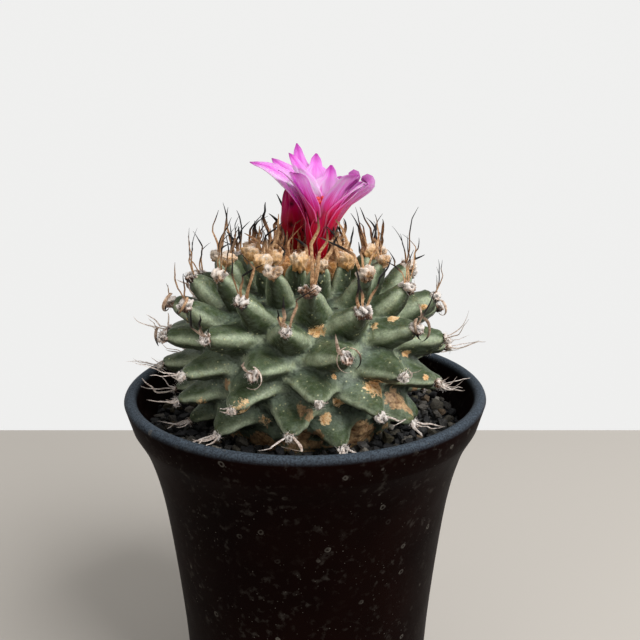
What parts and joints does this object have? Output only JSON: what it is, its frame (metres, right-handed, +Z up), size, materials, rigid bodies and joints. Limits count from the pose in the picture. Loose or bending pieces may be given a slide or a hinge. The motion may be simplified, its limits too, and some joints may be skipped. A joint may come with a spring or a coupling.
{
  "type": "potted cactus",
  "caption": "Tubercled, spiny globe cactus with a magenta bloom at its woolly crown, in a black trumpet-flared pot filled with dark lava gravel.",
  "frame": {"origin": "centre of the pot's foot, on the surface that it stands on", "axes": "+Z up along the pot's axis, +X to the right and +Y away from the viewer of the picture"},
  "size_m": [0.105, 0.105, 0.1808],
  "materials": {
    "pot_glaze": "black satin glazed pottery with a fine orange-peel grain",
    "lava_gravel": "dark, dry, porous lava grains",
    "stem_skin": "grey-green waxy skin with corky scars",
    "areole_wool": "tan and cream matted wool",
    "petal": "thin silky magenta petals, paler inside",
    "petal_closed": "furled wine-red petals"
  },
  "bodies": {
    "root": {"pot": "pot_glaze", "soil": "lava_gravel", "stem": "stem_skin", "crown_wool": "areole_wool", "bloom_open": "petal", "bloom_closed": "petal_closed"}
  },
  "joints": []
}
